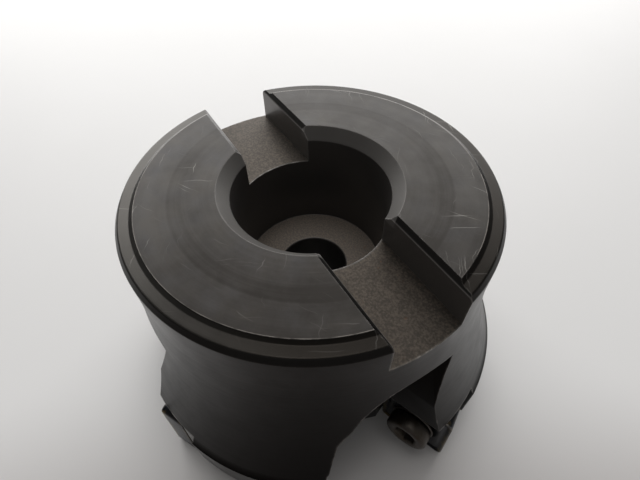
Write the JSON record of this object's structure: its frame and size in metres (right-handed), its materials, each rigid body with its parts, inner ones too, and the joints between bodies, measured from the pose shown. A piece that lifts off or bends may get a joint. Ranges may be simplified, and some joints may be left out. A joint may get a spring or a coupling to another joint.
{
  "type": "face mill",
  "caption": "Shell-type face mill with a pilot bore, a cross drive slot, a flared body with chip gullets, and screw-on square inserts on shims.",
  "frame": {"origin": "on the cutter's axis, in the plane that the lowest insert corners stand on", "axes": "+Z along the spindle axis towards the arbor face; +X along the drive slot"},
  "size_m": [0.077, 0.077, 0.05],
  "materials": {
    "body_steel": "black-oxide turned steel, worn on edges",
    "carbide": "coated carbide, blue-grey",
    "shim_steel": "ground hardened steel",
    "screw_steel": "blackened alloy steel"
  },
  "bodies": {
    "cutter": {"cutter_body": "body_steel", "insert_1": "carbide", "insert_2": "carbide", "insert_3": "carbide", "insert_4": "carbide", "shim_1": "shim_steel", "shim_2": "shim_steel", "shim_3": "shim_steel", "shim_4": "shim_steel", "shim_sleeve_1": "screw_steel", "shim_sleeve_2": "screw_steel", "shim_sleeve_3": "screw_steel", "shim_sleeve_4": "screw_steel"},
    "washer_1": {"taper_washer_1": "screw_steel"},
    "screw_1": {"insert_screw_1": "screw_steel"},
    "washer_2": {"taper_washer_2": "screw_steel"},
    "screw_2": {"insert_screw_2": "screw_steel"},
    "washer_3": {"taper_washer_3": "screw_steel"},
    "screw_3": {"insert_screw_3": "screw_steel"},
    "washer_4": {"taper_washer_4": "screw_steel"},
    "screw_4": {"insert_screw_4": "screw_steel"}
  },
  "joints": [
    {"name": "screw_1_travel", "type": "slide", "parent": "cutter", "child": "washer_1", "axis": [0.3584, -0.9335, -0.0087], "range_m": [0, 0.008]},
    {"name": "screw_1_turn", "type": "hinge", "parent": "washer_1", "child": "screw_1", "pos_m": [0.03161, 0.00394, 0.00807], "axis": [0.3584, -0.9335, -0.0087], "range_deg": [0, 3600]},
    {"name": "screw_2_travel", "type": "slide", "parent": "cutter", "child": "washer_2", "axis": [0.9335, 0.3584, -0.0087], "range_m": [0, 0.008]},
    {"name": "screw_2_turn", "type": "hinge", "parent": "washer_2", "child": "screw_2", "pos_m": [-0.00394, 0.03161, 0.00807], "axis": [0.9335, 0.3584, -0.0087], "range_deg": [0, 3600]},
    {"name": "screw_3_travel", "type": "slide", "parent": "cutter", "child": "washer_3", "axis": [-0.3584, 0.9335, -0.0087], "range_m": [0, 0.008]},
    {"name": "screw_3_turn", "type": "hinge", "parent": "washer_3", "child": "screw_3", "pos_m": [-0.03161, -0.00394, 0.00807], "axis": [-0.3584, 0.9335, -0.0087], "range_deg": [0, 3600]},
    {"name": "screw_4_travel", "type": "slide", "parent": "cutter", "child": "washer_4", "axis": [-0.9335, -0.3584, -0.0087], "range_m": [0, 0.008]},
    {"name": "screw_4_turn", "type": "hinge", "parent": "washer_4", "child": "screw_4", "pos_m": [0.00394, -0.03161, 0.00807], "axis": [-0.9335, -0.3584, -0.0087], "range_deg": [0, 3600]}
  ],
  "couplings": [
    {"joint": "screw_1_turn", "follows": "screw_1_travel", "rad_per_m": 7854},
    {"joint": "screw_2_turn", "follows": "screw_2_travel", "rad_per_m": 7854},
    {"joint": "screw_3_turn", "follows": "screw_3_travel", "rad_per_m": 7854},
    {"joint": "screw_4_turn", "follows": "screw_4_travel", "rad_per_m": 7854}
  ]
}
